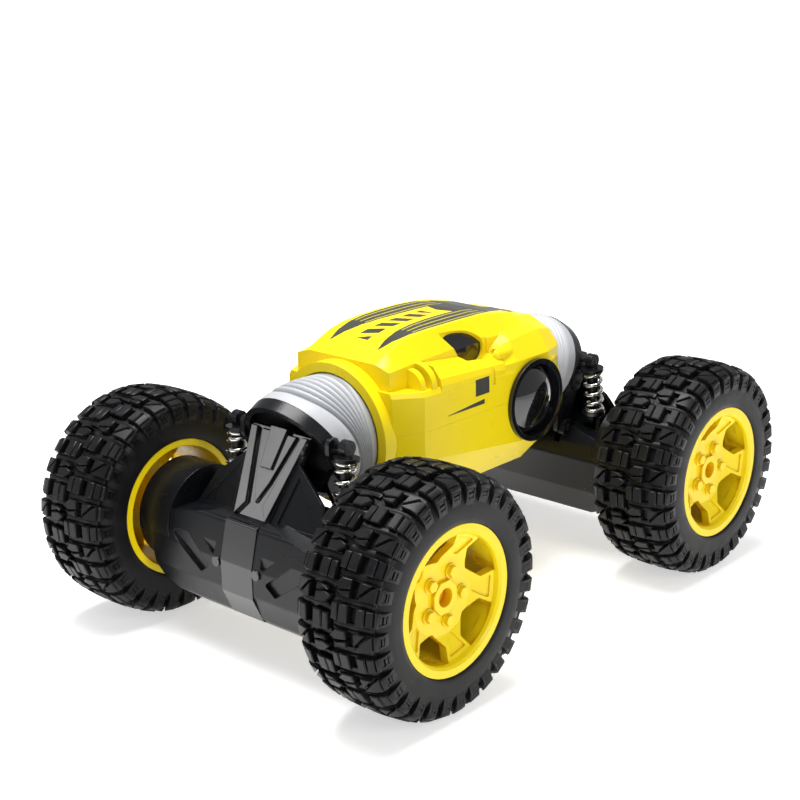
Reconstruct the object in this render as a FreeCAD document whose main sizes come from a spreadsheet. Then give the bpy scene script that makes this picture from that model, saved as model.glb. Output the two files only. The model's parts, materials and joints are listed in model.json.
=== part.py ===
"""Twisting radio-controlled stunt car, 1:10 class.

Frame: +X forward, +Y to the car's left, +Z up, origin on the ground under the centre of the car.
The rear half is the front half turned half a turn about Z, so every end part is made once.
"""
import FreeCAD, Part
import math
import os
import Sketcher

V = FreeCAD.Vector
doc = FreeCAD.newDocument("stunt_car")

# ---------------------------------------------------------------- driving sizes (mm and degrees)
SIZES = {
    "wheel_radius": 67.5, "tyre_width": 54.8, "half_base": 127.4, "outer_half_width": 134.1,
    "lip_radius": 41.2, "well_radius": 38.4, "barrel_radius": 36.0, "hub_face": 16.2,
    "disc_thick": 4.6, "stud_circle": 14.0, "stud_radius": 3.2, "shaft_radius": 4.0,
    "running_gap": 0.08, "window_count": 5, "spoke_angle": 47.5,
    "gear_module": 0.65, "gear_teeth": 32, "pinion_teeth": 8, "gear_width": 5.0, "mesh_gap": 0.35,
    "gear_plane": 38.0,
    "split_height": 123.0, "belly_height": 77.0,
    "shell_wall": 2.2, "roof_height": 173.5, "twist_height": 118.0,
    "neck_radius": 42.0, "bellows_radius": 36.0, "bellows_wall": 5.0, "neck_front": 81.0,
    "collar_reach": 104.7, "collar_height": 118.5, "collar_tilt": 30.0, "collar_radius": 34.5,
    "collar_depth": 8.0, "twist_shaft": 8.0,
    "pivot_reach": 100.0, "pivot_height": 84.0, "pivot_pin": 2.5,
    "drum_radius": 31.0, "drum_end": 86.0, "housing_wall": 3.0, "housing_floor": 21.5, "housing_top": 86.0,
    "shock_side": 43.0, "shock_top_reach": 113.0, "shock_top_height": 127.0,
    "shock_foot_reach": 117.0, "shock_foot_height": 88.0, "rod_radius": 2.0,
    "spring_radius": 6.8, "spring_wire": 1.7,
    "motor_radius": 10.0, "motor_length": 25.0,
    "porthole_reach": -43.5, "porthole_height": 119.0, "porthole_radius": 25.5,
    "lens_radius": 22.2, "screw_radius": 1.5, "screw_head": 2.9,
}
sheet = doc.addObject("Spreadsheet::Sheet", "Sizes")
for row, (alias, number) in enumerate(SIZES.items(), start=1):
    sheet.set(f"A{row}", alias)
    sheet.set(f"B{row}", str(number))
    sheet.setAlias(f"B{row}", alias)
doc.recompute()


def size(alias):
    return float(sheet.get(alias))


# ---------------------------------------------------------------- small helpers
nodes = []
TURNED = FreeCAD.Rotation(V(0, 0, 1), 180)
ALONG_Y = FreeCAD.Rotation(V(1, 0, 0), -90)
ALONG_X = FreeCAD.Rotation(V(0, 1, 0), 90)


def keep(item, label, placement=None):
    """Name a finished sub-part and put it in the list of exported nodes."""
    if placement is not None:
        item.Placement = placement
    item.Label = label
    nodes.append(item)
    return item


def primitive(kind, name, placement, **formulas):
    """A Part primitive whose properties are bound to formulas over the sheet."""
    item = doc.addObject("Part::" + kind, name)
    for prop, formula in formulas.items():
        item.setExpression(prop, formula)
    item.Placement = placement
    return item


def rod(name, start, direction, radius, length):
    """A cylinder from a start point along a direction, sizes as formulas."""
    turn = FreeCAD.Rotation(V(0, 0, 1), V(*direction))
    return primitive("Cylinder", name, FreeCAD.Placement(V(*start), turn), Radius=radius, Height=length)


def block(name, corner, length, width, height):
    place = FreeCAD.Placement(V(*corner), FreeCAD.Rotation())
    return primitive("Box", name, place, Length=length, Width=width, Height=height)


def fuse(name, items):
    item = doc.addObject("Part::MultiFuse", name)
    item.Shapes = items
    return item


def cut(name, base, tool):
    item = doc.addObject("Part::Cut", name)
    item.Base = base
    item.Tool = tool
    return item


def shaped(name, shape):
    """A Part::Feature for a shape that neither a sketch nor a primitive can give."""
    item = doc.addObject("Part::Feature", name)
    item.Shape = shape
    return item


def grouped(name, shapes):
    return shaped(name, Part.makeCompound(shapes))


def revolved(name, outline):
    """A body turned about Y; outline is (radius, along Y) as formulas over the sheet."""
    body = doc.addObject("PartDesign::Body", name)
    sketch = body.newObject("Sketcher::SketchObject", name + "_outline")
    plane = [f for f in body.Origin.OriginFeatures if f.Role == "XY_Plane"][0]
    sketch.AttachmentSupport = [(plane, "")]
    sketch.MapMode = "FlatFace"
    corners = [V(evaluate(r), evaluate(y), 0) for r, y in outline]
    count = len(corners)
    for i in range(count):
        sketch.addGeometry(Part.LineSegment(corners[i], corners[(i + 1) % count]), False)
    for i in range(count):
        sketch.addConstraint(Sketcher.Constraint("Coincident", i, 2, (i + 1) % count, 1))
    for i, (r, y) in enumerate(outline):
        for kind, formula, value in (("DistanceX", r, corners[i].x), ("DistanceY", y, corners[i].y)):
            if abs(value) < 1e-9:
                axis = -2 if kind == "DistanceX" else -1
                sketch.addConstraint(Sketcher.Constraint("PointOnObject", i, 1, axis))
                continue
            at = sketch.addConstraint(Sketcher.Constraint(kind, -1, 1, i, 1, value))
            sketch.setExpression(f"Constraints[{at}]", formula)
    turn = body.newObject("PartDesign::Revolution", name + "_turn")
    turn.Profile = sketch
    turn.ReferenceAxis = (sketch, ["V_Axis"])
    turn.Angle = 360
    body.Tip = turn
    return body


def evaluate(formula):
    """The number that a sheet formula gives."""
    return float(sheet.evalExpression(formula.replace("Sizes.", "")))


def rounded_face(points, radius, lift, inset=0):
    """A face from 2-D corners with every corner rounded; lift turns (a, b) into a point."""
    count = len(points)
    flat = [V(a, b, 0) for a, b in points]
    edges = []
    ends = []
    for i in range(count):
        before, here, after = flat[i - 1], flat[i], flat[(i + 1) % count]
        first, second = (before - here), (after - here)
        reach1, reach2 = first.Length, second.Length
        first.normalize()
        second.normalize()
        half = first.getAngle(second) / 2
        back = min(radius / math.tan(half), 0.45 * reach1, 0.45 * reach2)
        curve = back * math.tan(half)
        middle = (first + second).normalize()
        centre = here + middle * (curve / math.sin(half))
        ends.append((here + first * back, centre - middle * curve, here + second * back))
    up = lambda p: lift(p.x, p.y)
    for i in range(count):
        start, top, stop = ends[i]
        edges.append(Part.Arc(up(start), up(top), up(stop)).toShape())
        edges.append(Part.LineSegment(up(stop), up(ends[(i + 1) % count][0])).toShape())
    face = Part.Face(Part.Wire(edges))
    return face.makeOffset2D(-inset) if inset else face


def side_slab(points, radius, half_width, inset=0):
    """A side outline in X and Z, extruded to both sides along Y."""
    face = rounded_face(points, radius, lambda x, z: V(x, -half_width, z), inset)
    return face.extrude(V(0, 2 * half_width, 0))


def front_slab(points, radius, start, stop, inset=0):
    """A front outline in Y and Z, extruded along X."""
    face = rounded_face(points, radius, lambda y, z: V(start, y, z), inset)
    return face.extrude(V(stop - start, 0, 0))


def mirrored_loft(sections):
    """A solid through cross-sections; each is (x, half outline in Y and Z from the top down)."""
    wires = []
    for x, half in sections:
        points = [V(x, y, z) for y, z in half] + [V(x, -y, z) for y, z in reversed(half) if y > 0]
        wires.append(Part.makePolygon(points + points[:1]))
    return Part.makeLoft(wires, True, True)


def cylinder(radius, length, start, direction):
    return Part.makeCylinder(radius, length, V(*start), V(*direction))


def both_sides(shape):
    """The shape and its mirror image across the car's middle plane."""
    return [shape, shape.mirror(V(0, 0, 0), V(0, 1, 0))]


# ---------------------------------------------------------------- wheels
HALF_TYRE = "Sizes.tyre_width / 2"
WHEEL_PLANE = size("outer_half_width") - size("tyre_width") / 2
WHEELS = [("front_left", 1, 1), ("front_right", 1, -1), ("rear_left", -1, 1), ("rear_right", -1, -1)]


def wheel_place(end, side):
    turn = FreeCAD.Rotation() if side > 0 else TURNED
    return FreeCAD.Placement(V(end * size("half_base"), side * WHEEL_PLANE, size("wheel_radius")), turn)


def tyre(name):
    half, bead = HALF_TYRE, "Sizes.well_radius + 0.1"
    outline = [(bead, "-19.6"), ("Sizes.lip_radius + 0.1", "-22.6"), ("Sizes.lip_radius + 0.1", "1 - " + half),
               ("Sizes.lip_radius + 3", "-" + half), ("Sizes.wheel_radius - 9", "-" + half),
               ("Sizes.wheel_radius - 2.4", "2.5 - " + half), ("Sizes.wheel_radius", "9 - " + half),
               ("Sizes.wheel_radius", half + " - 9"), ("Sizes.wheel_radius - 2.4", half + " - 2.5"),
               ("Sizes.wheel_radius - 9", half), ("Sizes.lip_radius + 3", half),
               ("Sizes.lip_radius + 0.1", half + " - 1"), ("Sizes.lip_radius + 0.1", "22.6"), (bead, "19.6"),
               (bead, "15"), ("Sizes.lip_radius + 4", half + " - 5"),
               ("Sizes.wheel_radius - 13", half + " - 4.5"),
               ("Sizes.wheel_radius - 8.5", half + " - 12"), ("Sizes.wheel_radius - 8.5", "12 - " + half),
               ("Sizes.wheel_radius - 13", "4.5 - " + half), ("Sizes.lip_radius + 4", "5 - " + half),
               (bead, "-15")]
    return revolved(name, outline)


def rim_blank(name):
    face, lip, well, barrel = (f"Sizes.{k}" for k in ("hub_face", "lip_radius", "well_radius", "barrel_radius"))
    bore = "Sizes.shaft_radius"
    outline = [(bore, "-4"), ("11", "-4"), ("11", face + " - Sizes.disc_thick"),
               ("22", face + " - Sizes.disc_thick"), (barrel, "16.5"), (barrel, "-22.5"),
               (barrel + " + 1.2", "-25.8"),
               (lip, "-25.8"), (lip, "-23"), (well, "-20"), (well, "20"), (lip, "23"), (lip, "25.8"),
               (barrel + " + 1", "25.8"), (barrel + " - 0.4", "24.4"), (barrel + " - 1", "21.6"),
               ("22", face), ("5.2", face), ("5.2", "9"), (bore, "9")]
    return revolved(name, outline)


def polar(radius, angle, height):
    return V(radius * math.sin(angle), height, radius * math.cos(angle))


def spoke_openings():
    """House-shaped openings between the spokes, and the sunken face of each spoke."""
    barrel, face = size("barrel_radius"), size("hub_face")
    count = int(size("window_count"))
    cuts = []
    for i in range(count):
        turn = 360 / count * (i + 0.5) + size("spoke_angle")
        house = [(20.6, 0), (25.6, 11.2), (barrel - 0.3, 13.2), (barrel - 0.3, -13.2), (25.6, -11.2)]
        flat = rounded_face([(v, u) for u, v in house], 1.6, lambda v, u: V(v, face - 8, u))
        cuts.append(flat.extrude(V(0, 14, 0)).rotate(V(0, 0, 0), V(0, 1, 0), turn))
        dish = [(23.5, 1.6), (34.2, 6.6), (34.2, -6.6), (23.5, -1.6)]
        slope = math.atan2(5.4, barrel - 1 - 22)
        sunk = rounded_face([(v, u) for u, v in dish], 1.0, lambda v, u: V(v, 0, u))
        sunk = sunk.extrude(V(0, 6, 0))
        sunk.rotate(V(0, 0, 22), V(1, 0, 0), -math.degrees(slope))
        sunk.translate(V(0, face - 1.1, 0))
        cuts.append(sunk.rotate(V(0, 0, 0), V(0, 1, 0), turn + 180 / count))
    return cuts


def wheel_studs():
    """The eight-sided boss and the five moulded nuts on the hub face."""
    face = size("hub_face")
    count = int(size("window_count"))
    boss = prism(8, 9.6, 2.2, V(0, face - 0.1, 0)).cut(cylinder(5.2, 4, (0, face - 1, 0), (0, 1, 0)))
    studs = [boss]
    for i in range(count):
        angle = 2 * math.pi * i / count + math.radians(size("spoke_angle"))
        spot = polar(size("stud_circle"), angle, face - 0.1)
        studs.append(prism(6, size("stud_radius"), 3.3, spot))
        studs.append(cylinder(size("stud_radius") + 0.9, 1.0, (spot.x, spot.y, spot.z), (0, 1, 0)))
    return studs


def prism(sides, radius, height, base):
    """A regular prism standing on its base point along +Y."""
    corners = [base + polar(radius, 2 * math.pi * (i + 0.5) / sides, 0) for i in range(sides)]
    return Part.Face(Part.makePolygon(corners + corners[:1])).extrude(V(0, height, 0))


def toothed(teeth, bore, first_angle):
    """A spur gear standing along +Y from 0, with straight-sided teeth."""
    module = size("gear_module")
    pitch = module * teeth / 2
    step = 2 * math.pi / teeth
    points = []
    for i in range(teeth):
        middle = first_angle + i * step
        for radius, share in ((pitch - 1.15 * module, -0.30), (pitch + 0.9 * module, -0.11),
                              (pitch + 0.9 * module, 0.11), (pitch - 1.15 * module, 0.30)):
            angle = middle + share * step
            points.append(V(radius * math.cos(angle), 0, radius * math.sin(angle)))
    disc = Part.Face(Part.makePolygon(points + points[:1])).extrude(V(0, size("gear_width"), 0))
    return disc.cut(cylinder(bore, size("gear_width") + 2, (0, -1, 0), (0, 1, 0)))


def make_wheels():
    gear_line = size("gear_plane") - size("gear_width") / 2
    for name, end, side in WHEELS:
        place = wheel_place(end, side)
        keep(tyre("tyre_" + name), "tyre_" + name, place)
        opened = cut("rim_open_" + name, rim_blank("rim_blank_" + name),
                     grouped("rim_cuts_" + name, spoke_openings()))
        studs = [shaped(f"stud_{name}_{i}", stud) for i, stud in enumerate(wheel_studs())]
        rim = fuse("rim_" + name, [opened] + studs)
        keep(rim, "rim_" + name, place)
        inner = gear_line - 3 - WHEEL_PLANE
        bar = rod("shaft_bar_" + name, (0, inner, 0), (0, 1, 0), "Sizes.shaft_radius", f"9 - ({inner})")
        nut = shaped("shaft_nut_" + name, prism(6, 4.4, 4, V(0, 9, 0)))
        keep(fuse("axle_shaft_" + name, [bar, nut]), "axle_shaft_" + name, place)
        wheel_centre = V(end * size("half_base"), side * gear_line, size("wheel_radius"))
        away = FreeCAD.Rotation() if side > 0 else TURNED
        gear = toothed(int(size("gear_teeth")), size("shaft_radius"), 0)
        keep(shaped("drive_gear_" + name, gear), "drive_gear_" + name, FreeCAD.Placement(wheel_centre, away))
        pinion_centre = V(end * (size("half_base") - shaft_distance()), side * gear_line, size("wheel_radius"))
        teeth = int(size("pinion_teeth"))
        pinion = toothed(teeth, 1.0, math.pi / teeth).fuse(cylinder(1.0, 12, (0, -6.5, 0), (0, 1, 0)))
        keep(shaped("motor_pinion_" + name, pinion), "motor_pinion_" + name,
             FreeCAD.Placement(pinion_centre, away))


# ---------------------------------------------------------------- collar, housing, tower and shocks
def collar_axis():
    tilt = math.radians(size("collar_tilt"))
    return V(math.cos(tilt), 0, -math.sin(tilt))


def on_collar(depth):
    """The centre of the collar's section at a depth along its own axis."""
    return V(size("collar_reach"), 0, size("collar_height")) + collar_axis() * depth


def collar_disc(radius, start, stop):
    return Part.makeCylinder(radius, stop - start, on_collar(start), collar_axis())


def shock_axis():
    foot = V(size("shock_foot_reach"), size("shock_side"), size("shock_foot_height"))
    top = V(size("shock_top_reach"), size("shock_side"), size("shock_top_height"))
    return foot, top, (foot - top).normalize()


def collar_shape():
    """The black ring on the twist shaft, with its pivot yoke and the two shock brackets."""
    radius, depth = size("collar_radius"), size("collar_depth")
    ring = collar_disc(radius, 0, depth).cut(collar_disc(radius - 3.5, 0.8, depth + 1))
    plate = collar_disc(size("bellows_radius") - size("bellows_wall") - 4, -3, 0.9)
    shaft = cylinder(size("twist_shaft"), 42, (60, 0, size("twist_height")), (1, 0, 0))
    shaft = shaft.cut(collar_disc(radius, 0.5, 40))
    body = ring.fuse([plate, shaft])
    px, pz = size("pivot_reach"), size("pivot_height")
    _, top, _ = shock_axis()
    yoke = side_slab([(px - 5, pz - 3), (px, pz - 6), (px + 6, pz - 2), (px + 16, 104), (110, 112),
                      (99, 106), (px - 5, 95)], 3, 1.6)
    arm = side_slab([(103, 110), (110, 106), (119, 122), (119, 131), (110, 131)], 3, 1.6)
    behind = Part.makeCylinder(80, 60, on_collar(0.2), -collar_axis())
    extras = []
    for side in (1, -1):
        lug, bracket = yoke.cut(behind), arm.cut(behind)
        lug.translate(V(0, side * 28.4, 0))
        bracket.translate(V(0, side * 33.6, 0))
        pin = cylinder(2.0, 12, (top.x, side * 33.5, top.z), (0, side, 0))
        pivot = cylinder(size("pivot_pin"), 9, (px, side * 27, pz), (0, side, 0))
        extras += [lug, bracket, pin, pivot]
    body = body.fuse(extras).removeSplitter()
    return body.cut(cylinder(4, 80, (55, 0, size("twist_height")), (1, 0, 0)))


def gearbox_block(inset, half_width):
    """The rounded side outline met by the narrowing front outline; inset gives the hollow inside."""
    floor, top = size("housing_floor"), size("housing_top")
    side = side_slab([(97, 76), (93, 66), (98, 44), (110, 25), (118, floor), (141, floor), (152, 30),
                      (158.5, 46), (158.5, 62), (152.5, top - 1), (146, top), (106, top)], 5, half_width, inset)
    right_half = [(40, floor), (57, 29), (68, 38), (71, 52), (71, 74), (62, 78.5), (24, top)]
    left_half = [(-y, z) for y, z in reversed(right_half)]
    front = front_slab(right_half + left_half, 3, 80, 165, inset)
    return side.common(front)


def housing_shape():
    """The gearbox with its drum ends, wings, pivot ears and shock feet."""
    wx, wz = size("half_base"), size("wheel_radius")
    end, wall = size("drum_end"), size("housing_wall")
    drum = cylinder(size("drum_radius"), end - 57, (wx, 57, wz), (0, 1, 0))
    drum = drum.makeChamfer(3.5, [e for e in drum.Edges if abs(e.CenterOfMass.y - end) < 0.1])
    boss = Part.makeCone(14, 10.5, 9, V(wx, end - 0.5, wz), V(0, 1, 0))
    body = gearbox_block(0, 75).fuse(both_sides(drum) + both_sides(boss) + wing_shapes())
    body = body.fuse(shock_feet()).cut(yoke_slots()).fuse(pivot_ears())
    web_start = size("gear_plane") - 6.5
    web = gearbox_block(wall, 58).common(Part.makeBox(100, 2.5, 90, V(80, web_start, 10)))
    web = web.cut(cylinder(2.5, 20, (wx - shaft_distance(), web_start - 5, wz), (0, 1, 0)))
    hollow = gearbox_block(wall, 58).cut(both_sides(web))
    drum_hollow = cylinder(size("drum_radius") - wall, end - 60 - wall, (wx, 60, wz), (0, 1, 0))
    body = body.cut([hollow] + both_sides(drum_hollow))
    shaft = cylinder(size("shaft_radius") + size("running_gap"), 2 * 110, (wx, -110, wz), (0, 1, 0))
    return body.cut([shaft] + front_pockets())


def shaft_distance():
    """Distance between the wheel shaft and its motor's shaft."""
    return (size("gear_teeth") + size("pinion_teeth")) * size("gear_module") / 2 + size("mesh_gap")


def yoke_slots():
    """Room for the collar's yoke to turn in the top rear edge of the gearbox."""
    return both_sides(Part.makeBox(26, 5, 20, V(87, 25.7, 74)))


def front_pockets():
    """The slanted recesses moulded in the gearbox's front face on each side of the middle box."""
    cuts = []
    for outline in ([(17, 80), (36, 76), (19, 62)], [(22, 56), (44, 72), (56, 68), (30, 50)]):
        recess = front_slab(outline, 1.5, 156.3, 170)
        cuts += both_sides(recess)
    return cuts


def wing_shapes():
    """The two triangular webs between the gearbox's shoulders and the tower, with a raised border."""
    outer = [V(127.2, 19.6, 117), V(146.5, 12.4, 82), V(141, 52, 80), V(132.6, 42, 100)]
    normal = (outer[1] - outer[0]).cross(outer[2] - outer[0]).normalize()
    middle = (outer[0] + outer[1] + outer[2] + outer[3]) * 0.25
    inner = [middle + (corner - middle) * 0.7 for corner in outer[:3]]
    web = Part.Face(Part.makePolygon(outer[:3] + outer[:1])).extrude(normal * -3.2)
    curve = Part.Face(Part.makePolygon([outer[0], outer[2], outer[3], outer[0]])).extrude(normal * -3.2)
    panel = Part.Face(Part.makePolygon(inner + inner[:1])).extrude(normal * -1.0)
    return both_sides(web.fuse(curve).cut(panel).removeSplitter())


def pivot_ears():
    px, pz = size("pivot_reach"), size("pivot_height")
    ear = side_slab([(px - 5, pz - 4), (px - 3, pz + 4.6), (px + 3, pz + 4.6), (px + 12, 80), (px + 8, 74)],
                    2.5, 1.9)
    ear.translate(V(0, 32.6, 0))
    ear = ear.cut(cylinder(size("pivot_pin") + 0.08, 10, (px, 28, pz), (0, 1, 0)))
    return both_sides(ear)


def shock_feet():
    foot, _, _ = shock_axis()
    cheek = side_slab([(foot.x - 6, 76), (foot.x - 4, foot.z + 2.8), (foot.x + 4, foot.z + 2.8),
                       (foot.x + 7, 76)], 2, 1.4)
    cheek.translate(V(0, foot.y + 6.4, 0))
    pin = cylinder(2.0, 10, (foot.x, foot.y - 3, foot.z), (0, 1, 0))
    return both_sides(cheek.fuse(pin))


def tower_panel(points, low, high, slope):
    """A raised panel on the tower's face: points are (down the face, Y), with sloping sides."""
    top = V(119.6, 0, 129.8)
    down = (V(146.5, 0, 84) - top).normalize()
    normal = V(-down.z, 0, down.x)
    middle = sum(p[0] for p in points) / len(points)
    wires = []
    for height, shrink in ((low, 0), (high, slope)):
        corners = []
        for along, y in points:
            along -= math.copysign(shrink, along - middle)
            y -= math.copysign(shrink, y) if abs(y) > shrink else 0
            corners.append(top + down * along + V(0, y, 0) + normal * height)
        wires.append(Part.makePolygon(corners + corners[:1]))
    return Part.makeLoft(wires, True, True)


def tower_shape():
    """The glossy cover that falls from under the collar to the gearbox, with rails and a V plate."""
    def ring(x, z, half, deep):
        return Part.makePolygon([V(x, half, z), V(x, -half, z), V(x - deep, -half, z), V(x - deep, half, z),
                                 V(x, half, z)])
    body = Part.makeLoft([ring(119.6, 129.8, 22.8, 3), ring(146.5, 84, 13, 12)], True, True)
    rail = tower_panel([(0.5, 22.7), (0.5, 18.2), (44, 7.6), (52, 13.1)], -0.5, 2.2, 0.8)
    plate = tower_panel([(1, 14.2), (1, -14.2), (31, -6.2), (43, 0), (31, 6.2)], -0.5, 1.8, 1.0)
    lid = tower_panel([(-1.5, 6.8), (-1.5, -6.8), (23, -4.8), (23, 4.8)], 1.5, 3.2, 0.6)
    return body.fuse(both_sides(rail) + [plate, lid])


def gearbox_cover_shape():
    """The raised box in the middle of the gearbox front."""
    blank = side_slab([(153.2, 85), (158.9, 62), (158.9, 44), (151, 28), (147, 28), (152.7, 46),
                       (152.7, 60), (147.5, 85)], 1.5, 12.5)
    return blank


def make_ends():
    foot, top, down = shock_axis()
    for name, turn in (("front", FreeCAD.Rotation()), ("rear", TURNED)):
        place = FreeCAD.Placement(V(0, 0, 0), turn)
        cover = gearbox_cover_shape()
        tower = tower_shape()
        screws = cover_screws()
        housing = housing_shape().cut([cover, tower] + screws)
        keep(shaped("collar_" + name, collar_shape()), "collar_" + name, place)
        keep(shaped("axle_housing_" + name, housing), "axle_housing_" + name, place)
        keep(shaped("tower_cover_" + name, tower), "tower_cover_" + name, place)
        keep(shaped("gearbox_cover_" + name, cover), "gearbox_cover_" + name, place)
        make_motors(name, place)
        make_shocks(name, place, foot, top, down)
        keep(grouped("gearbox_screws_" + name, screws), "gearbox_screws_" + name, place)


def cover_screws():
    """Two round-headed screws on the front of the gearbox, beside the middle box."""
    head = cylinder(size("screw_head"), 1.2, (158.5, 16, 60), (1, 0, 0))
    return both_sides(head.fuse(cylinder(size("screw_radius"), 7, (152.5, 16, 60), (1, 0, 0))))


def make_motors(name, place):
    """Two can motors, one for each wheel of the axle, behind the wheel shafts."""
    reach = size("half_base") - shaft_distance()
    start = size("gear_plane") - 6.5 - size("motor_length")
    cans = []
    for side in (1, -1):
        can = cylinder(size("motor_radius"), size("motor_length"), (reach, side * start, size("wheel_radius")),
                       (0, side, 0))
        hole = cylinder(1.0 + size("running_gap"), size("motor_length"),
                        (reach, side * (start + 10), size("wheel_radius")), (0, side, 0))
        cans.append(can.cut(hole))
    keep(grouped("drive_motors_" + name, cans), "drive_motors_" + name, place)


def make_shocks(name, place, foot, top, down):
    """Shock bodies on the collar, rods that slide in them, and a coil spring round each."""
    reach = (foot - top).Length
    barrel_start, barrel_end = 4.0, 0.56 * reach
    rod_start, rod_end = 0.3 * reach, reach - 3
    seat_top, seat_foot = 0.18 * reach, 0.86 * reach
    bodies, rods, springs = [], [], []
    for side in (1, -1):
        high = V(top.x, side * top.y, top.z)
        low = V(foot.x, side * foot.y, foot.z)
        eye = cylinder(4.6, 5, (high.x, high.y - 2.5, high.z), (0, 1, 0))
        barrel = Part.makeCylinder(3.6, barrel_end - barrel_start, high + down * barrel_start, down)
        cap = Part.makeCylinder(size("spring_radius") + 0.6, 2.2, high + down * (seat_top - 2.2), down)
        bore = Part.makeCylinder(size("rod_radius") + 0.1, reach, high + down * (rod_start - 4), down)
        pin_hole = cylinder(2.0, 8, (high.x, high.y - 4, high.z), (0, 1, 0))
        bodies.append(eye.fuse([barrel, cap]).cut(bore).cut(pin_hole))
        stem = Part.makeCylinder(size("rod_radius"), rod_end - rod_start, high + down * rod_start, down)
        seat = Part.makeCylinder(size("spring_radius") + 0.6, 2.0, high + down * seat_foot, down)
        lower_eye = cylinder(4.2, 4.4, (low.x, low.y - 2.2, low.z), (0, 1, 0))
        hole = cylinder(2.35, 8, (low.x, low.y - 4, low.z), (0, 1, 0))
        rods.append(stem.fuse([seat, lower_eye]).cut(hole))
        outer = Part.makeCylinder(size("spring_radius"), seat_foot - seat_top, high + down * seat_top, down)
        inner = Part.makeCylinder(size("spring_radius") - size("spring_wire"), reach, high, down)
        springs.append(outer.cut(inner))
    keep(grouped("shock_bodies_" + name, bodies), "shock_bodies_" + name, place)
    keep(grouped("shock_rods_" + name, rods), "shock_rods_" + name, place)
    keep(grouped("shock_springs_" + name, springs), "shock_springs_" + name, place)


# ---------------------------------------------------------------- pod shells
def roof(x):
    """Height of the bonnet's flat top along the car."""
    crest, peak = -8, size("roof_height")
    if x > crest:
        return peak - 11.5 * ((x - crest) / 78) ** 4.5
    return peak - 4.5 * ((crest - x) / 39) ** 1.8


def bonnet_solid(inset):
    """The long hood over the pod: a flat top, sloping flanks and upright sides."""
    low = size("split_height") - (1 if inset else 0)
    front, rear = 71, -50
    sections = []
    for x in (front, 62, 52, 40, 26, 11, -4, -19, -34, rear):
        flank = 158.3 + 3 * (70 - x) / 74 if x > -4 else 161.3 - 2 * (-4 - x) / 44
        end = inset if x in (front, rear) else 0
        crease = 28.5 - 2.5 * abs((x - 8) / 63) ** 2
        sections.append((x - math.copysign(end, x),
                         [(crease - inset, roof(x) - inset), (36 - inset, flank - inset), (36 - inset, low)]))
    return mirrored_loft(sections)


def belt_solid(inset):
    """The wide middle band of the pod down to the split line."""
    low = size("split_height") - (1 if inset else 0)
    sections = []
    for x, half, top in ((74, 40.5, 147.5), (57, 50, 146.5), (-15, 50, 143.5), (-63, 49.5, 143),
                         (-75, 44, 143)):
        end = inset if abs(x) > 70 else 0
        sections.append((x - math.copysign(end, x), [(half - 1.5 - inset, top - inset),
                                                     (half - inset, top - 3 - inset), (half - inset, low)]))
    return mirrored_loft(sections)


def deck_solid(inset):
    """The lower rear end of the pod behind the bonnet, with facetted cheeks."""
    low = size("split_height") - (1 if inset else 0)
    sections = []
    for x, spine, half, brow, cheek, wall in ((-16, 166, 22, 37, 152, 49), (-28, 167, 23, 43, 158, 49.8),
                                              (-58, 164.5, 23, 41, 159, 49.5), (-75, 161.5, 22, 37, 155, 44)):
        if inset and x == -16:
            continue
        end = math.copysign(inset, x) if x == -75 else -inset if x == -28 and inset else 0
        sections.append((x - end, [(half - inset, spine - inset), (brow - inset, cheek - inset),
                                   (wall - inset, 146 - inset), (wall - inset, low)]))
    return mirrored_loft(sections)


def flank_details():
    """Raised blocks along both flanks, with two curved ribs in the recess ahead of each."""
    block_sections = [(42, [(43, 157), (48.5, 150.5), (49.8, 146.5), (49.8, 140)]),
                      (12, [(43.5, 154), (48.6, 149), (49.8, 145.5), (49.8, 138)]),
                      (-16, [(44, 150.5), (48.6, 147.5), (49.8, 144), (49.8, 137)])]
    sections = [(x, [(30, half[0][1] + 2.5)] + half) for x, half in block_sections]
    parts = [mirrored_loft(sections)]
    for x, reach in ((44.5, 12.4), (51.5, 10.2)):
        rib = cylinder(reach, 4.4, (x, 36.3, 147), (1, 0, 0))
        parts += both_sides(rib.common(Part.makeBox(20, 20, 20, V(x - 5, 34, 142))))
    knob = cylinder(4, 12, (-27, 42.5, 151.5), (1, 0, 0)).fuse(Part.makeSphere(4, V(-15, 42.5, 151.5)))
    return parts + both_sides(knob)


def upper_solid(inset):
    """Everything of the upper shell; inset gives the hollow inside."""
    parts = [belt_solid(inset), deck_solid(inset)]
    if not inset:
        parts += flank_details()
    return bonnet_solid(inset).fuse(parts)


def lower_solid(inset):
    """The tub under the split line, narrowing to the flat belly."""
    high = size("split_height") + (1 if inset else 0)
    belly = size("belly_height")
    sections = []
    for x, wall, crease, foot, floor in ((74, 40.5, 110, 31, 80), (57, 50, 106, 36, belly),
                                         (-28, 50, 96, 35, belly),
                                         (-50, 50, 94, 35, belly), (-75, 44, 98, 34, 86)):
        x_in = x - math.copysign(inset, x) if abs(x) > 70 else x
        sections.append((x_in, [(wall - inset, high), (wall - inset, crease + inset / 2),
                                (foot - inset, floor + inset)]))
    return mirrored_loft(sections)


def porthole_disc(radius, start, stop):
    x, z = size("porthole_reach"), size("porthole_height")
    return [cylinder(radius, stop - start, (x, side * start, z), (0, side, 0)) for side in (1, -1)]


def neck_openings():
    """The round hole in each end of the pod that the twist motor's hub passes."""
    return [cylinder(18, 20, (end * 62, 0, size("twist_height")), (end, 0, 0)) for end in (1, -1)]


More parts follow.
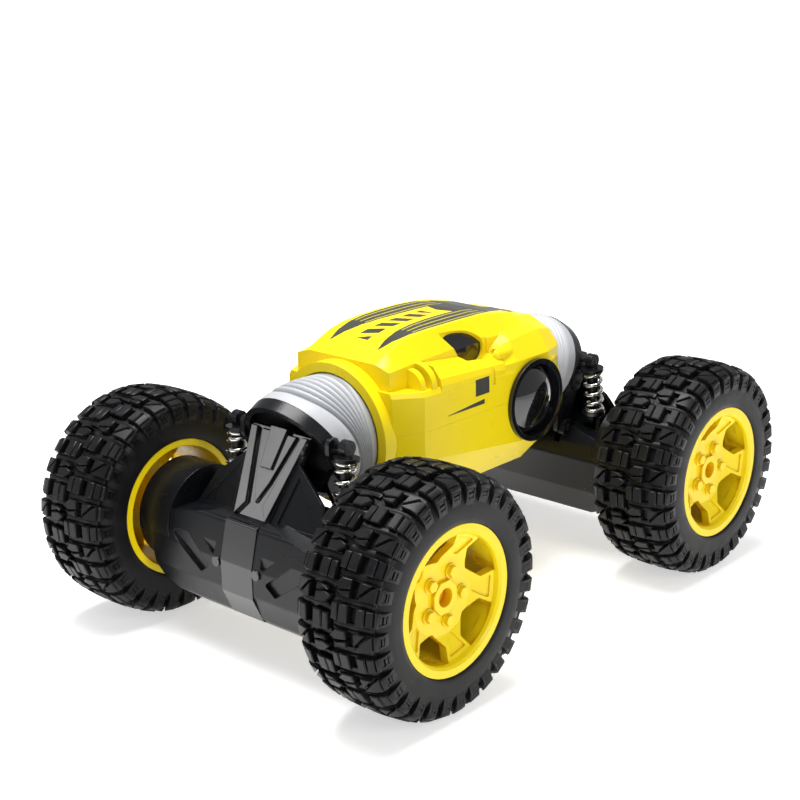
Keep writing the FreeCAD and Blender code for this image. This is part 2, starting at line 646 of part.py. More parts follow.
def lamp_bulb():
    """The left lamp cover: a drop that points forward and up, with its round end low at the rear."""
    tip, heel = V(25, 30.5, 172), V(-10.5, 38, 152)
    axis = heel - tip
    length = axis.Length
    profile = Part.BSplineCurve()
    profile.interpolate([V(0, 0, 0), V(3.6, 0, 0.25 * length), V(8.2, 0, 0.52 * length),
                         V(9.3, 0, 0.76 * length), V(6, 0, 0.95 * length), V(0, 0, length)])
    spine = Part.LineSegment(V(0, 0, length), V(0, 0, 0))
    drop = Part.Face(Part.Wire([profile.toShape(), spine.toShape()])).revolve(V(0, 0, 0), V(0, 0, 1), 360)
    drop.Placement = FreeCAD.Placement(tip, FreeCAD.Rotation(V(0, 0, 1), axis))
    return drop


def lamp_seat():
    """A flat-bottomed pocket behind the lamp, cut into the bonnet's flank."""
    return side_slab([(12, 150.5), (-9, 148.5), (-15, 152), (-14, 162), (-2, 169), (12, 166)], 2, 4)


def make_pod():
    wall = size("shell_wall")
    lamps = both_sides(lamp_bulb())
    seat = lamp_seat()
    seat.translate(V(0, 39.5, 0))
    notch = Part.makeBox(2.6, 3, 12, V(-6, 49, 137))
    openings = porthole_disc(23.6, 40, 60) + neck_openings()
    upper = upper_solid(0).cut(upper_solid(wall)).cut(openings + lamps + both_sides(seat) + both_sides(notch))
    keep(shaped("upper_shell", upper), "upper_shell")
    hollow = lower_solid(0).cut(lower_solid(wall)).cut(openings)
    opening = Part.makeBox(66, 44, 10, V(-36, -22, size("belly_height") - 2))
    slot = Part.makeBox(12, 5.4, 10, V(40, -2.7, size("belly_height") - 2))
    bosses = [cylinder(3.2, 20, (x, y, size("belly_height") + 1), (0, 0, 1))
              for x in (-48, 50) for y in (-24, 24)]
    holes = [cylinder(size("screw_radius"), 22, (x, y, size("belly_height") - 1), (0, 0, 1))
             for x in (-48, 50) for y in (-24, 24)]
    seats = [cylinder(size("screw_head") + 0.2, 2, (x, y, size("belly_height") - 0.7), (0, 0, 1))
             for x in (-48, 50) for y in (-24, 24)]
    lower = hollow.fuse(bosses).cut([opening, slot] + holes + seats)
    keep(shaped("lower_shell", lower), "lower_shell")
    for side, lamp in zip(("left", "right"), lamps):
        keep(shaped("lamp_cover_" + side, lamp.cut(upper_solid(wall))), "lamp_cover_" + side)
    make_portholes()
    make_necks()
    make_insides()


def make_portholes():
    """A black ring and a domed dark lens on each side of the pod."""
    rings = porthole_disc(size("porthole_radius"), 50.05, 52.6)
    spigots = porthole_disc(23.5, 46.5, 50.1)
    bores = porthole_disc(size("lens_radius") + 0.1, 40, 60)
    x, z = size("porthole_reach"), size("porthole_height")
    for i, side in enumerate(("left", "right")):
        out = 1 if i == 0 else -1
        bezel = rings[i].fuse(spigots[i]).cut(bores[i])
        keep(shaped("porthole_ring_" + side, bezel), "porthole_ring_" + side)
        ball = Part.makeSphere(34, V(x, out * 21.5, z))
        glass = ball.common(porthole_disc(size("lens_radius"), 47, 56)[i])
        keep(shaped("porthole_lens_" + side, glass), "porthole_lens_" + side)


def make_necks():
    """The raised ring on each end of the pod, and the folded rubber sleeve that starts in it."""
    lift = size("twist_height")
    start, wall = size("neck_front"), size("bellows_wall")
    for name, turn in (("front", FreeCAD.Rotation()), ("rear", TURNED)):
        place = FreeCAD.Placement(V(0, 0, 0), turn)
        ring = cylinder(size("neck_radius"), start - 71, (71, 0, lift), (1, 0, 0))
        ring = ring.cut(cylinder(size("bellows_radius") + 0.3, 10, (77, 0, lift), (1, 0, 0)))
        bore = cylinder(size("twist_shaft") + size("running_gap"), 30, (60, 0, lift), (1, 0, 0))
        pod = upper_solid(0).fuse(lower_solid(0))
        pod.Placement = place
        keep(shaped("neck_ring_" + name, ring.cut([bore, pod])), "neck_ring_" + name, place)
        keep(shaped("bellows_" + name, bellows_shape(77.0, wall)), "bellows_" + name, place)
        body = cylinder(15, 24, (50, 0, lift), (1, 0, 0)).fuse(cylinder(10.5, 30, (22, 0, lift), (1, 0, 0)))
        body = body.cut(cylinder(size("twist_shaft") + size("running_gap"), 20, (58, 0, lift), (1, 0, 0)))
        keep(shaped("twist_motor_" + name, body), "twist_motor_" + name, place)


def bellows_shape(start, wall):
    """A plain tube from the neck ring to the tilted collar."""
    def tube(outer, end_radius, extra):
        first = Part.Wire(Part.makeCircle(outer, V(start - extra, 0, size("twist_height")), V(1, 0, 0)))
        last = Part.Wire(Part.makeCircle(end_radius, on_collar(extra), collar_axis()))
        return Part.makeLoft([first, last], True, True)
    outer = tube(size("bellows_radius"), size("collar_radius"), 0)
    inner = tube(size("bellows_radius") - wall, size("collar_radius") - wall, 0.01)
    return outer.cut(inner)


def make_insides():
    belly, wall = size("belly_height"), size("shell_wall")
    door = block("battery_door", (-35.7, -21.7, belly), "65.4", "43.4", "Sizes.shell_wall")
    keep(door, "battery_door")
    keep(block("battery_pack", (-33, -19, belly + wall), "60", "38", "17"), "battery_pack")
    board = Part.makeBox(104, 56, 1.6, V(-51, -28, belly + 21))
    keep(shaped("circuit_board", board), "circuit_board")
    slider = Part.makeBox(5, 4.8, 5, V(42, -2.4, belly + 0.1))
    slider = slider.fuse(Part.makeBox(7, 8, 1.6, V(41, -4, belly + 2.6)))
    keep(shaped("power_switch", slider), "power_switch")
    screws = []
    for x in (-48, 50):
        for y in (-24, 24):
            head = cylinder(size("screw_head"), 1.1, (x, y, belly + 0.2), (0, 0, 1))
            screws.append(head.fuse(cylinder(size("screw_radius"), 16, (x, y, belly + 1), (0, 0, 1))))
    keep(grouped("shell_screws", screws), "shell_screws")


make_wheels()
make_ends()
make_pod()
doc.recompute()

# ---------------------------------------------------------------- checks and export
for item in doc.Objects:
    if "Invalid" in item.State or "Error" in item.State:
        raise RuntimeError(f"{item.Name} failed: {item.State}")
os.makedirs("parts", exist_ok=True)
for item in nodes:
    shape = item.Shape
    if shape.isNull() or not shape.isValid():
        raise RuntimeError(f"{item.Label} has no valid shape")
    if not shape.Solids:
        raise RuntimeError(f"{item.Label} has no solid")
    shape.exportStep(f"parts/{item.Label}.step")
    print(item.Label, len(shape.Solids), round(shape.Volume / 1000, 2))
print(len(nodes), "nodes")
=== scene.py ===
"""Looks of the twisting stunt car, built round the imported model. Metres, +X forward, +Y left, +Z up."""
import bmesh
import bpy
import json
import math
import numpy as np
from mathutils import Matrix, Vector


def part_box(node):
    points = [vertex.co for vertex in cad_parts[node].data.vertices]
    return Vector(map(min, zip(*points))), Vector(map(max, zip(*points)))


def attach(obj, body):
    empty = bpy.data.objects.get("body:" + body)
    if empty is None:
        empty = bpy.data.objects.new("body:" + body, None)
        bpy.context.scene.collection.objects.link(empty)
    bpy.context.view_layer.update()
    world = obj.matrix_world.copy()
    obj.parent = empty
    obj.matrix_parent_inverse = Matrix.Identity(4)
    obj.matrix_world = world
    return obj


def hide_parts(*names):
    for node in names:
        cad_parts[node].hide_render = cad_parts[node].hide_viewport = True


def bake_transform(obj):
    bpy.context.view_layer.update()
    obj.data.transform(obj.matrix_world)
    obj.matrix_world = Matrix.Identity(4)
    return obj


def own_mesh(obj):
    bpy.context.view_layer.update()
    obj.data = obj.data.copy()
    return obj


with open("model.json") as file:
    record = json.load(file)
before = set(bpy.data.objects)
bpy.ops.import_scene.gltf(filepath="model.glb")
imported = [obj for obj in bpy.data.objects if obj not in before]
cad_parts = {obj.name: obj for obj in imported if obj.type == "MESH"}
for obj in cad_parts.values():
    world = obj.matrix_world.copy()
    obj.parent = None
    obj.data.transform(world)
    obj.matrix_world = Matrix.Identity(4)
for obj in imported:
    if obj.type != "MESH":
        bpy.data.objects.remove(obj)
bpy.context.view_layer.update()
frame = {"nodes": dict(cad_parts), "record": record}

MM = 0.001
FLOOR_HALF = 30             # m, far enough to meet the backdrop
WORLD_LIGHT = 0.36          # what the backdrop gives the car; the camera sees it at full white
GRAIN = 900                 # noise scale of moulded plastic's fine grain
EDGE = 0.0006               # m, how far a moulded edge is rounded
WHEELS = {"front_left": (1, 1), "front_right": (1, -1), "rear_left": (-1, 1), "rear_right": (-1, -1)}
ENDS = {"front": 1, "rear": -1}
HALF_TURN = Matrix.Rotation(math.pi, 4, "Z")


# ---------------------------------------------------------------- camera, light and floor
def make_camera():
    """A long-lens camera off the front left corner, a little above the bonnet."""
    azimuth, elevation, distance, roll = math.radians(131.39), math.radians(19.88), 0.9793, math.radians(-0.62)
    target = Vector((0, 0, 0.0675))
    away = Vector((math.sin(azimuth) * math.cos(elevation), -math.cos(azimuth) * math.cos(elevation),
                   math.sin(elevation)))
    data = bpy.data.cameras.new("camera")
    data.lens, data.sensor_width = 71.16, 36
    data.shift_x, data.shift_y = -0.0324, 0.0998
    data.clip_start, data.clip_end = 0.01, 50
    camera = bpy.data.objects.new("camera", data)
    bpy.context.collection.objects.link(camera)
    turn = (-away).to_track_quat("-Z", "Y").to_matrix().to_4x4() @ Matrix.Rotation(roll, 4, "Z")
    camera.matrix_world = Matrix.Translation(target + away * distance) @ turn
    bpy.context.scene.camera = camera


def area_light(name, place, aim, width, height, power):
    """A rectangular softbox that faces a point of the car."""
    data = bpy.data.lights.new(name, "AREA")
    data.shape, data.size, data.size_y, data.energy = "RECTANGLE", width, height, power
    lamp = bpy.data.objects.new(name, data)
    bpy.context.collection.objects.link(lamp)
    direction = Vector(aim) - Vector(place)
    lamp.matrix_world = Matrix.Translation(place) @ direction.to_track_quat("-Z", "Y").to_matrix().to_4x4()


def make_studio():
    """A white sweep with three softboxes: one above, one at the car's left and one off its front right corner."""
    world = bpy.data.worlds.new("studio")
    bpy.context.scene.world = world
    world.use_nodes = True
    tree = world.node_tree
    back = tree.nodes["Background"]
    back.inputs["Color"].default_value = (1, 1, 1, 1)
    # the sweep behind the car looks white, but lights it only softly
    seen = tree.nodes.new("ShaderNodeLightPath")
    level = tree.nodes.new("ShaderNodeMapRange")
    level.inputs["To Min"].default_value = WORLD_LIGHT
    level.inputs["To Max"].default_value = 1.0
    tree.links.new(seen.outputs["Is Camera Ray"], level.inputs["Value"])
    tree.links.new(level.outputs["Result"], back.inputs["Strength"])
    area_light("top_softbox", (0.1, -0.1, 1.2), (0, 0, 0.08), 0.7, 0.7, 22)
    area_light("side_softbox", (0.35, 1.2, 0.7), (0, 0, 0.08), 0.22, 0.5, 4)
    area_light("front_softbox", (1.0, -0.98, 0.72), (0.1, 0, 0.08), 0.16, 0.42, 0.7)
    mesh = bpy.data.meshes.new("floor")
    half = FLOOR_HALF
    mesh.from_pydata([(-half, -half, 0), (half, -half, 0), (half, half, 0), (-half, half, 0)], [],
                     [(0, 1, 2, 3)])
    floor = bpy.data.objects.new("floor", mesh)
    bpy.context.collection.objects.link(floor)
    # the paper glows a little, and more so far away, where the softboxes no longer reach
    paper = Nodes("floor_paper", (0.85, 0.84, 0.83), 0.6)
    away = paper.add("VectorMath", out=1, values={0: paper.place()}, operation="LENGTH")
    glow = paper.add("MapRange", values={"Value": away, "From Min": 0.5, "From Max": 2.0, "To Min": 0.56,
                                         "To Max": 0.72})
    paper.set(paper.shader, {"Emission Color": (1, 1, 1, 1), "Emission Strength": glow})
    paper.link("Roughness", paper.spread(paper.noise(180), 0.57, 0.63))
    mesh.materials.append(paper.material)
    bpy.context.scene.view_settings.view_transform = "Standard"


# ---------------------------------------------------------------- materials
class Nodes:
    """A short way to write a material's node tree."""

    def __init__(self, name, color, roughness, metallic=0.0, coat=0.0, specular=0.5):
        self.material = bpy.data.materials.new(name)
        self.material.use_nodes = True
        self.tree = self.material.node_tree
        self.shader = self.tree.nodes["Principled BSDF"]
        self.set(self.shader, {"Base Color": (*color, 1), "Roughness": roughness, "Metallic": metallic,
                               "Coat Weight": coat, "Specular IOR Level": specular})

    def set(self, node, values):
        for key, value in values.items():
            if isinstance(value, bpy.types.NodeSocket):
                self.tree.links.new(value, node.inputs[key])
            else:
                node.inputs[key].default_value = value

    def add(self, kind, out=0, values=None, **props):
        node = self.tree.nodes.new("ShaderNode" + kind)
        for key, value in props.items():
            setattr(node, key, value)
        self.set(node, values or {})
        return node.outputs[out]

    def math(self, operation, first, second=0.0, third=0.0):
        return self.add("Math", values={0: first, 1: second, 2: third}, operation=operation)

    def place(self):
        return self.add("TexCoord", out="Object")

    def noise(self, scale, detail=4.0, roughness=0.6, stretch=None):
        where = self.place()
        if stretch:
            where = self.add("VectorMath", values={0: where, 1: stretch}, operation="MULTIPLY")
        return self.add("TexNoise", values={"Vector": where, "Scale": scale, "Detail": detail,
                                            "Roughness": roughness})

    def spread(self, value, low, high):
        """Maps 0.3..0.7 of a noise to low..high."""
        return self.add("MapRange", values={"Value": value, "From Min": 0.3, "From Max": 0.7, "To Min": low,
                                            "To Max": high})

    def mix(self, factor, first, second):
        node = self.tree.nodes.new("ShaderNodeMix")
        node.data_type = "RGBA"
        node.clamp_factor = True
        for key, value in (("Factor_Float", factor), ("A_Color", first), ("B_Color", second)):
            socket = next(s for s in node.inputs if s.identifier == key)
            if isinstance(value, bpy.types.NodeSocket):
                self.tree.links.new(value, socket)
            else:
                socket.default_value = value if key == "Factor_Float" else (*value, 1)
        return next(s for s in node.outputs if s.identifier == "Result_Color")

    def bump(self, height, distance, strength=1.0, below=None):
        values = {"Height": height, "Distance": distance, "Strength": strength}
        if below is not None:
            values["Normal"] = below
        return self.add("Bump", values=values)

    def edges(self, radius):
        """A normal that rounds the sharp edges a little."""
        return self.add("Bevel", values={"Radius": radius}, samples=6)

    def link(self, key, socket):
        self.tree.links.new(socket, self.shader.inputs[key])


def moulded(name, color, roughness, coat=0.0, depth=0.00002, specular=0.5):
    """Moulded plastic: a fine grain, a little unevenness and softened edges."""
    n = Nodes(name, color, roughness, coat=coat, specular=specular)
    darker = tuple(c * 0.93 for c in color)
    n.link("Base Color", n.mix(n.spread(n.noise(14), 0.0, 1.0), color, darker))
    n.link("Roughness", n.spread(n.noise(60), roughness * 0.85, roughness * 1.15))
    n.link("Normal", n.bump(n.noise(GRAIN, 2.0), depth, below=n.edges(EDGE)))
    return n.material


def decal_shell():
    """The yellow shell with its printed marks: dark blades and bars on the bonnet, a bar and a square on
    each flank. Every mark is a mask over the shell's own millimetres."""
    n = Nodes("yellow_abs_printed", YELLOW, 0.30, specular=0.22)
    where = n.add("VectorMath", values={0: n.place(), 3: 1000.0}, operation="SCALE")
    split = n.tree.nodes.new("ShaderNodeSeparateXYZ")
    n.tree.links.new(where, split.inputs[0])
    x, y, z = split.outputs
    side = n.math("ABSOLUTE", y)

    def rise(start, span, power):
        share = n.math("DIVIDE", n.math("SUBTRACT", x, start), span)
        return n.math("POWER", n.math("MAXIMUM", share, 0.0), power)

    def above(value, limit):
        return n.math("GREATER_THAN", value, limit)

    def every(*masks):
        total = masks[0]
        for mask in masks[1:]:
            total = n.math("MULTIPLY", total, mask)
        return total

    def either(first, second):
        return n.math("MAXIMUM", first, second)

    # the blades lie between an inner and an outer edge on each half of the bonnet
    inner = n.math("MULTIPLY_ADD", rise(-17, 79, 3), 8.7, 10.0)
    outer = n.math("MULTIPLY_ADD", rise(-8, 70, 3), -7.7, 26.4)
    outer = n.math("MULTIPLY_ADD", rise(-8, -46, 1.6), -9.5, outer)
    across = n.math("DIVIDE", n.math("SUBTRACT", side, inner), n.math("SUBTRACT", outer, inner))
    roof = every(above(z, 160.0), above(62.0, x))
    blade = every(roof, above(across, 0.0), above(1.0, across))
    tail_edge = n.math("MULTIPLY_ADD", side, -0.35, -11.0)
    tail = every(roof, above(tail_edge, x), above(outer, side))
    marks = either(blade, tail)
    # thin pale streaks inside the blades, from a third of their length to the tail
    ripple = n.math("FRACT", n.math("MULTIPLY", across, 3.0))
    streak = every(blade, above(ripple, 0.35), above(0.62, ripple), above(36.0, x), above(x, -30.0))
    # five slanted bars between the blades
    slant = n.math("DIVIDE", n.math("MULTIPLY_ADD", y, 0.5, x), 12.0)
    bars = every(roof, above(n.math("FRACT", slant), 0.42), above(5.2, side), above(x, -3.0), above(55.0, x))
    # a square and a tapered bar on the belt
    wall = above(side, 47.5)
    square = every(wall, above(x, -0.4), above(12.2, x), above(z, 133.5), above(143.5, z))
    bar_top = n.math("MULTIPLY_ADD", n.math("SUBTRACT", x, 4.0), -0.075, 130.6)
    bar = every(wall, above(x, 4.0), above(37.0, x), above(z, 127.7), above(bar_top, z))
    marks = either(either(marks, bars), either(square, bar))
    darker = tuple(c * 0.94 for c in YELLOW)
    shell = n.mix(n.spread(n.noise(14), 0.0, 1.0), YELLOW, darker)
    ink = n.mix(n.spread(n.noise(40), 0.0, 1.0), (0.035, 0.036, 0.030), (0.055, 0.055, 0.045))
    ink = n.mix(streak, ink, (0.42, 0.36, 0.04))
    n.link("Base Color", n.mix(marks, shell, ink))
    n.link("Roughness", n.spread(n.noise(60), 0.26, 0.34))
    n.link("Normal", n.bump(n.noise(GRAIN, 2.0), 0.00002, below=n.edges(EDGE)))
    return n.material


def tyre_rubber():
    n = Nodes("tyre_rubber", (0.006, 0.006, 0.007), 0.46, specular=0.2)
    n.link("Base Color", n.mix(n.spread(n.noise(45), 0.0, 1.0), (0.004, 0.004, 0.005), (0.009, 0.009, 0.010)))
    n.link("Roughness", n.spread(n.noise(90), 0.32, 0.50))
    n.link("Normal", n.bump(n.noise(700, 3.0), 0.00005))
    return n.material


def sleeve_rubber():
    n = Nodes("sleeve_rubber", (0.34, 0.35, 0.37), 0.42)
    n.link("Base Color", n.mix(n.spread(n.noise(30), 0.0, 1.0), (0.40, 0.41, 0.43), (0.47, 0.48, 0.50)))
    n.link("Roughness", n.spread(n.noise(70), 0.40, 0.56))
    n.link("Normal", n.bump(n.noise(1200, 2.0), 0.00002))
    return n.material


def rim_plastic():
    """The rims' yellow: thin plastic, with painted shade that turns it orange-brown where ambient occlusion finds
    it hidden from the light.
    """
    n = Nodes("yellow_rim_painted_shade", YELLOW, 0.30, specular=0.3)
    # ambient occlusion measures how hidden each point of the rim is; it drives the painted shade below
    open_air = n.add("AmbientOcclusion", out=1, values={"Distance": 0.03}, samples=8)
    depth = n.add("MapRange", values={"Value": open_air, "From Min": 0.05, "From Max": 0.55, "To Min": 1.0,
                                      "To Max": 0.0})
    # painted shade: the yellow is mixed towards orange-brown in the rim's hollows
    n.link("Base Color", n.mix(depth, YELLOW, (0.80, 0.36, 0.0)))
    n.link("Roughness", n.spread(n.noise(60), 0.26, 0.34))
    n.link("Normal", n.bump(n.noise(GRAIN, 2.0), 0.00002, below=n.edges(EDGE)))
    return n.material


def capped_steel():
    """The wheel shaft: dark steel inside, with the yellow cap that shows in the hub's bore."""
    n = Nodes("capped_steel", (0.1, 0.1, 0.105), 0.38)
    split = n.tree.nodes.new("ShaderNodeSeparateXYZ")
    n.tree.links.new(n.place(), split.inputs[0])
    outside = n.math("GREATER_THAN", n.math("ABSOLUTE", split.outputs[1]), 0.113)
    n.link("Base Color", n.mix(outside, (0.1, 0.1, 0.105), (0.85, 0.33, 0.01)))
    n.link("Roughness", n.spread(n.noise(120), 0.30, 0.42))
    return n.material


def metal(name, color, roughness):
    n = Nodes(name, color, roughness, metallic=1.0)
    n.link("Roughness", n.spread(n.noise(400, stretch=(1, 1, 0.1)), roughness * 0.7, roughness * 1.3))
    n.link("Normal", n.bump(n.noise(900), 0.00001))
    return n.material


YELLOW = (0.83, 0.645, 0.006)
MATERIALS = {
    "yellow_shell": lambda: moulded("yellow_abs", YELLOW, 0.30, specular=0.22),
    "black_plastic": lambda: moulded("black_abs", (0.004, 0.0045, 0.006), 0.30, depth=0.00003, specular=0.30),
    "gloss_black": lambda: moulded("gloss_black_abs", (0.006, 0.006, 0.008), 0.14, coat=0.5, depth=0.000004),
    "dark_lens": lambda: moulded("smoked_dome", (0.004, 0.004, 0.005), 0.04, coat=1.0, depth=0.000001),
    "steel": lambda: metal("blackened_steel", (0.10, 0.10, 0.105), 0.38),
    "spring_steel": lambda: metal("bright_spring", (0.78, 0.77, 0.74), 0.16),
    "gear_nylon": lambda: moulded("gear_nylon", (0.80, 0.80, 0.76), 0.45),
    "brass_gear": lambda: metal("gear_brass", (0.70, 0.52, 0.20), 0.30),
    "battery_wrap": lambda: moulded("battery_wrap", (0.03, 0.10, 0.42), 0.25),
    "board_green": lambda: moulded("board_green", (0.02, 0.20, 0.07), 0.40),
    "tyre_rubber": tyre_rubber,
    "grey_rubber": sleeve_rubber,
}


def paint_nodes():
    """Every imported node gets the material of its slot."""
    made = {slot: make() for slot, make in MATERIALS.items()}
    for row in frame["record"]["subparts"]:
        mesh = frame["nodes"][row["node"]].data
        mesh.materials.clear()
        mesh.materials.append(made[row["material_slot"]])
    frame["nodes"]["upper_shell"].data.materials[0] = decal_shell()
    capped, rims = capped_steel(), rim_plastic()
    for name in WHEELS:
        frame["nodes"]["rim_" + name].data.materials[0] = rims
        frame["nodes"]["axle_shaft_" + name].data.materials[0] = capped
    return made


# ---------------------------------------------------------------- mesh helpers
def piece(name, points, faces, material, body, smooth=30):
    """An object from points and faces, with its slot and, when one is given, the body it rides on."""
    mesh = bpy.data.meshes.new(name)
    mesh.from_pydata([tuple(p) for p in points], [], faces)
    mesh.validate()
    mesh.materials.append(material)
    work = bmesh.new()
    work.from_mesh(mesh)
    bmesh.ops.recalc_face_normals(work, faces=work.faces)
    work.to_mesh(mesh)
    work.free()
    mesh.shade_smooth()
    mesh.set_sharp_from_angle(angle=math.radians(smooth))
    item = bpy.data.objects.new(name, mesh)
    bpy.context.collection.objects.link(item)
    if body:
        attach(item, body)
    return item


class Patch:
    """Collects closed solids into one mesh."""

    def __init__(self):
        self.points, self.faces = [], []

    def rings(self, rings, closed=False):
        """Joins equal rings of points into a solid; the two ends are capped unless it closes on itself."""
        start, size = len(self.points), len(rings[0])
        for ring in rings:
            self.points.extend(ring)
        count = len(rings)
        for i in range(count if closed else count - 1):
            a, b = start + i * size, start + (i + 1) % count * size
            for j in range(size):
                k = (j + 1) % size
                self.faces.append((a + j, a + k, b + k, b + j))
        if not closed:
            self.faces.append(tuple(range(start + size - 1, start - 1, -1)))
            self.faces.append(tuple(range(start + (count - 1) * size, start + count * size)))


# ---------------------------------------------------------------- tyres
ROWS = 32
TYRE_RADIUS = 67.5          # mm
PITCH = 2 * math.pi * TYRE_RADIUS / ROWS
# the tread's section, mm: the way along it from the middle line, then y and radius of the carcass and of the tops
REACH = (0, 6, 12, 17, 21, 24.5, 28, 32, 37)
BASE_Y = (0, 6, 12, 17, 20.8, 23.6, 25.4, 26.2, 26.7)
BASE_R = (63.0, 62.9, 62.6, 62.0, 61.0, 59.2, 56.6, 53.5, 50)
TOP_Y = (0, 6, 12, 17, 21, 24.4, 26.8, 27.4, 27.4)
TOP_R = (67.5, 67.45, 67.2, 66.7, 66.0, 64.7, 62.0, 58.4, 54.6)
FIRST_SPIN, SPIN_STEP = 12.7, 5     # degrees


def tread_point(along, around, lift):
    """A point of the tread: along the section (mm, sign gives the side), around the tyre (mm), lift 0..1."""
    reach, side = abs(along), math.copysign(1, along)
    y = np.interp(reach, REACH, BASE_Y) * (1 - lift) + np.interp(reach, REACH, TOP_Y) * lift
    r = np.interp(reach, REACH, BASE_R) * (1 - lift) + np.interp(reach, REACH, TOP_R) * lift
    angle = around / TYRE_RADIUS
    return (r * math.sin(angle) * MM, side * y * MM, r * math.cos(angle) * MM)


def tread_block(patch, centre, stations, lift=1.0, round_by=0.5, sink=-0.35):
    """A block from its stations (along, around low, around high); the top edges are chamfered."""
    first, last = stations[0], stations[-1]
    step = math.copysign(round_by, last[0] - first[0])
    inner_first = (first[0] + step, first[1], first[2])
    inner_last = (last[0] - step, last[1], last[2])
    rings = []
    shoulder = lift - 0.12

    def ring(station, top, inset):
        s, low, high = station
        inset = min(inset, 0.45 * (high - low))
        return [tread_point(s, centre + low, sink), tread_point(s, centre + low, min(shoulder, top)),
                tread_point(s, centre + low + inset, top), tread_point(s, centre + high - inset, top),
                tread_point(s, centre + high, min(shoulder, top)), tread_point(s, centre + high, sink)]
    rings.append(ring(first, shoulder, round_by))
    rings.append(ring(inner_first, lift, round_by))
    for station in stations[1:-1]:
        rings.append(ring(station, lift, round_by))
    rings.append(ring(inner_last, lift, round_by))
    rings.append(ring(last, shoulder, round_by))
    patch.rings(rings)


def wide(start, stop, low, high, parts=1):
    """Stations of a straight block."""
    return [(start + (stop - start) * i / parts, low, high) for i in range(parts + 1)]


def tread_row(patch, i, side):
    """One row of one half of the tread: cut slabs, the shoulder lug and the smooth band beside them."""
    centre = (i + (0.0 if side > 0 else 0.5)) * PITCH

    def block(stations, **more):
        tread_block(patch, centre, [(side * a, lo if side > 0 else -hi, hi if side > 0 else -lo)
                                    for a, lo, hi in stations], **more)
    if i % 2 == 0:
        block(wide(1.0, 4.9, -4.3, 4.3))
        block(wide(5.7, 11.4, -4.7, 4.5, 2))
        block(wide(16.6, 21.2, -4.7, 4.5, 2))
        block(wide(21.7, 26.0, -4.5, 4.3, 2), lift=0.88)
    else:
        block([(0.7, -0.8, 0.3), (4.4, -4.4, 1.5), (10.9, -4.6, 0.2)])
        block([(3.0, 2.3, 3.0), (5.2, 2.5, 4.3), (10.9, 1.1, 4.5)])
        block([(15.7, -4.6, 2.6), (22.0, -4.6, -3.7)])
        block([(16.2, 3.9, 4.5), (22.6, -2.7, 4.5), (26.0, -4.6, 4.5)])
    block(wide(1.6, 26.0, -5.0, -4.1, 6), lift=0.62, round_by=0.3)
    make_lug(block, tip=37.0 if i % 2 == 0 else 35.0)
    band = [(a, PITCH / 2 - 1.9 + 0.5 * math.sin(a / 13 * math.pi), PITCH / 2 + 1.9
             + 0.5 * math.sin(a / 13 * math.pi)) for a in np.linspace(0.4, 25, 16)]
    block(band, lift=0.45, round_by=1.5)


def make_lug(block, tip):
    """A shoulder lug: a solid head, then a ladder of two rails and three rungs on the sidewall."""
    block(wide(26.5, 29.4, -4.3, 4.3, 2))
    block(wide(29.0, tip, -4.1, 4.1, 4), lift=0.3, round_by=0.3)
    for low, high in ((-4.1, -2.3), (2.3, 4.1)):
        block(wide(29.6, tip, low, high, 4), lift=0.95, round_by=0.3)
    span = tip - 29.6
    for share in (0.0, 0.42, 0.86):
        block(wide(29.6 + share * span, 29.6 + (share + 0.14) * span, -2.4, 2.4), lift=0.9, round_by=0.2)


def tyre_mesh():
    """One tyre about its own centre, in metres: the carcass and every block of the tread."""
    patch = Patch()
    sides = 4 * ROWS
    # carcass section: outer skin from bead to bead, and the inner skin back
    outer = [(26.0, 41.6), (26.6, 42.4), (26.9, 44.5), (27.0, 48), (26.9, 51.5), (26.3, 54.5)]
    half = outer + [(float(np.interp(a, REACH, BASE_Y)), float(np.interp(a, REACH, BASE_R)))
                    for a in (28, 26, 24.5, 22.7, 21, 19, 17, 12, 6, 0)]
    section = half + [(-y, r) for y, r in reversed(half[:-1])]
    section += [(-23, 41.6), (-20, 39.5), (-20, 46), (-18, 56), (0, 58), (18, 56), (20, 46), (20, 39.5),
                (23, 41.6)]
    rings = []
    for k in range(sides):
        angle = 2 * math.pi * k / sides
        rings.append([(r * math.sin(angle) * MM, y * MM, r * math.cos(angle) * MM) for y, r in section])
    patch.rings(rings, closed=True)
    for i in range(ROWS):
        for side in (1, -1):
            tread_row(patch, i, side)
    return patch


def make_tyres(made):
    """The same tyre four times, each turned a little differently."""
    patch = tyre_mesh()
    low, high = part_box("tyre_front_left")
    middle = (Vector(low) + Vector(high)) / 2
    for k, (name, (end, side)) in enumerate(WHEELS.items()):
        centre = Vector((end * middle.x, side * middle.y, middle.z))
        turn = HALF_TURN if side < 0 else Matrix.Identity(4)
        spin = Matrix.Rotation(math.radians(FIRST_SPIN + SPIN_STEP * k), 4, "Y")
        place = Matrix.Translation(centre) @ turn @ spin
        points = [place @ Vector(p) for p in patch.points]
        tyre = piece("tyre_tread_" + name, points, patch.faces, made["tyre_rubber"], "wheel_" + name,
                     smooth=38)
        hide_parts("tyre_" + name)


# ---------------------------------------------------------------- sleeves (bellows)
# where the front sleeve starts and ends, mm; the rear one is the same, turned half round
NECK = Vector((77, 0, 118))
COLLAR = Vector((104.7, 0, 118.5))
TILT = math.radians(30)
COLLAR_AXIS = Vector((math.cos(TILT), 0, -math.sin(TILT)))


def sleeve_point(u, angle, out):
    """A point of the sleeve: u from neck to collar, angle round it, out in mm from the plain tube."""
    side, up = math.sin(angle), math.cos(angle)
    first = NECK + Vector((0, side, up)) * (35.2 + out)
    tilted = Vector((math.sin(TILT), 0, math.cos(TILT)))
    last = COLLAR + (Vector((0, side, 0)) + tilted * up) * (33.6 + out)
    pull = (last - first).length * 0.36
    a, b = first + Vector((pull, 0, 0)), last - COLLAR_AXIS * pull
    v = 1 - u
    return first * v ** 3 + a * (3 * v * v * u) + b * (3 * v * u * u) + last * u ** 3


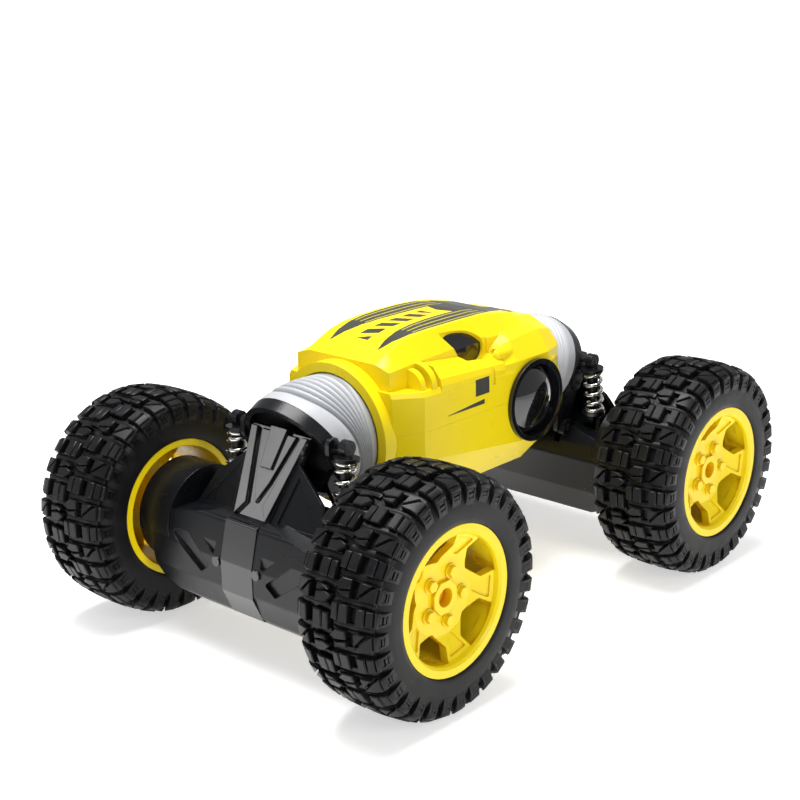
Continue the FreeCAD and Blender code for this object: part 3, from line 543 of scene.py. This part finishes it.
def make_sleeves(made):
    """Both folded sleeves, each curving from the pod at one end to the collar at the other."""
    folds, cuff, around, per_fold = 7, 0.80, 96, 12
    stations = []
    for k in range(folds * per_fold + 1):
        u = cuff * k / (folds * per_fold)
        wave = abs(math.sin(math.pi * k / per_fold)) ** 0.62
        stations.append((u, wave))
    for k in range(1, 7):
        u = cuff + (1 - cuff) * k / 6
        stations.append((u, 0.35 + 0.65 * min(1, k / 2)))

    def bunched(u, angle):
        """The folds stand apart on top and bunch together towards the neck at the sides and below."""
        low = abs((math.degrees(angle) + 180) % 360 - 180)
        share = min(1, max(0, (low - 5) / 90))
        squeeze = 0.60 * share * share * (3 - 2 * share)
        gather = 0.40
        if u <= cuff:
            return u * (1 - squeeze) + gather * squeeze * min(1, u / 0.04)
        edge = cuff * (1 - squeeze) + gather * squeeze
        return edge + (u - cuff) / (1 - cuff) * (1 - edge)

    for name, end in ENDS.items():
        patch = Patch()
        rings = []
        for u, wave in stations:
            ring = []
            for j in range(around):
                angle = 2 * math.pi * j / around
                depth = 2.2 + 1.0 * math.cos(angle)
                ring.append(sleeve_point(bunched(u, angle), angle, (wave - 1) * depth + 0.3) * MM)
            rings.append(ring)
        for u, wave in reversed(stations[::4]):
            rings.append([sleeve_point(u, 2 * math.pi * j / around, -5.5) * MM for j in range(around)])
        patch.rings(rings, closed=True)
        turn = HALF_TURN if end < 0 else Matrix.Identity(4)
        points = [turn @ Vector(p) for p in patch.points]
        sleeve = piece("sleeve_" + name, points, patch.faces, made["grey_rubber"], None,
                       smooth=60)
        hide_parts("bellows_" + name)
        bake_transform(sleeve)


# ---------------------------------------------------------------- coil springs
SHOCK_SIDE = 43             # mm


def make_springs(made):
    """The coil springs, two to an end, which ride on their end's collar."""
    top, foot = Vector((113, 0, 127)), Vector((117, 0, 88))
    down = (foot - top).normalized()
    reach = (foot - top).length
    start, stop = 0.18 * reach + 1.1, 0.86 * reach - 1.1      # between the two seats
    turns, wire, radius = 5, 1.3, 5.5
    across = Vector((0, 1, 0))
    third = down.cross(across)
    for name, end in ENDS.items():
        patch = Patch()
        for side in (1, -1):
            base = top + Vector((0, side * SHOCK_SIDE, 0))
            rings = []
            steps = turns * 28
            for k in range(steps + 1):
                share = k / steps
                angle = 2 * math.pi * turns * share
                flat = min(1, max(0, (share * turns - 0.6) / (turns - 1.2)))
                arm = across * math.cos(angle) + third * math.sin(angle)
                centre = base + down * (start + (stop - start) * flat) + arm * radius
                rings.append([(centre + (arm * math.cos(t) + down * math.sin(t)) * wire) * MM
                              for t in (2 * math.pi * m / 10 for m in range(10))])
            patch.rings(rings)
        turn = HALF_TURN if end < 0 else Matrix.Identity(4)
        points = [turn @ Vector(p) for p in patch.points]
        spring = piece("coil_springs_" + name, points, patch.faces, made["spring_steel"], "collar_" + name,
                       smooth=60)
        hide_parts("shock_springs_" + name)
        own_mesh(spring)


make_camera()
make_studio()
made = paint_nodes()
make_tyres(made)
make_sleeves(made)
make_springs(made)
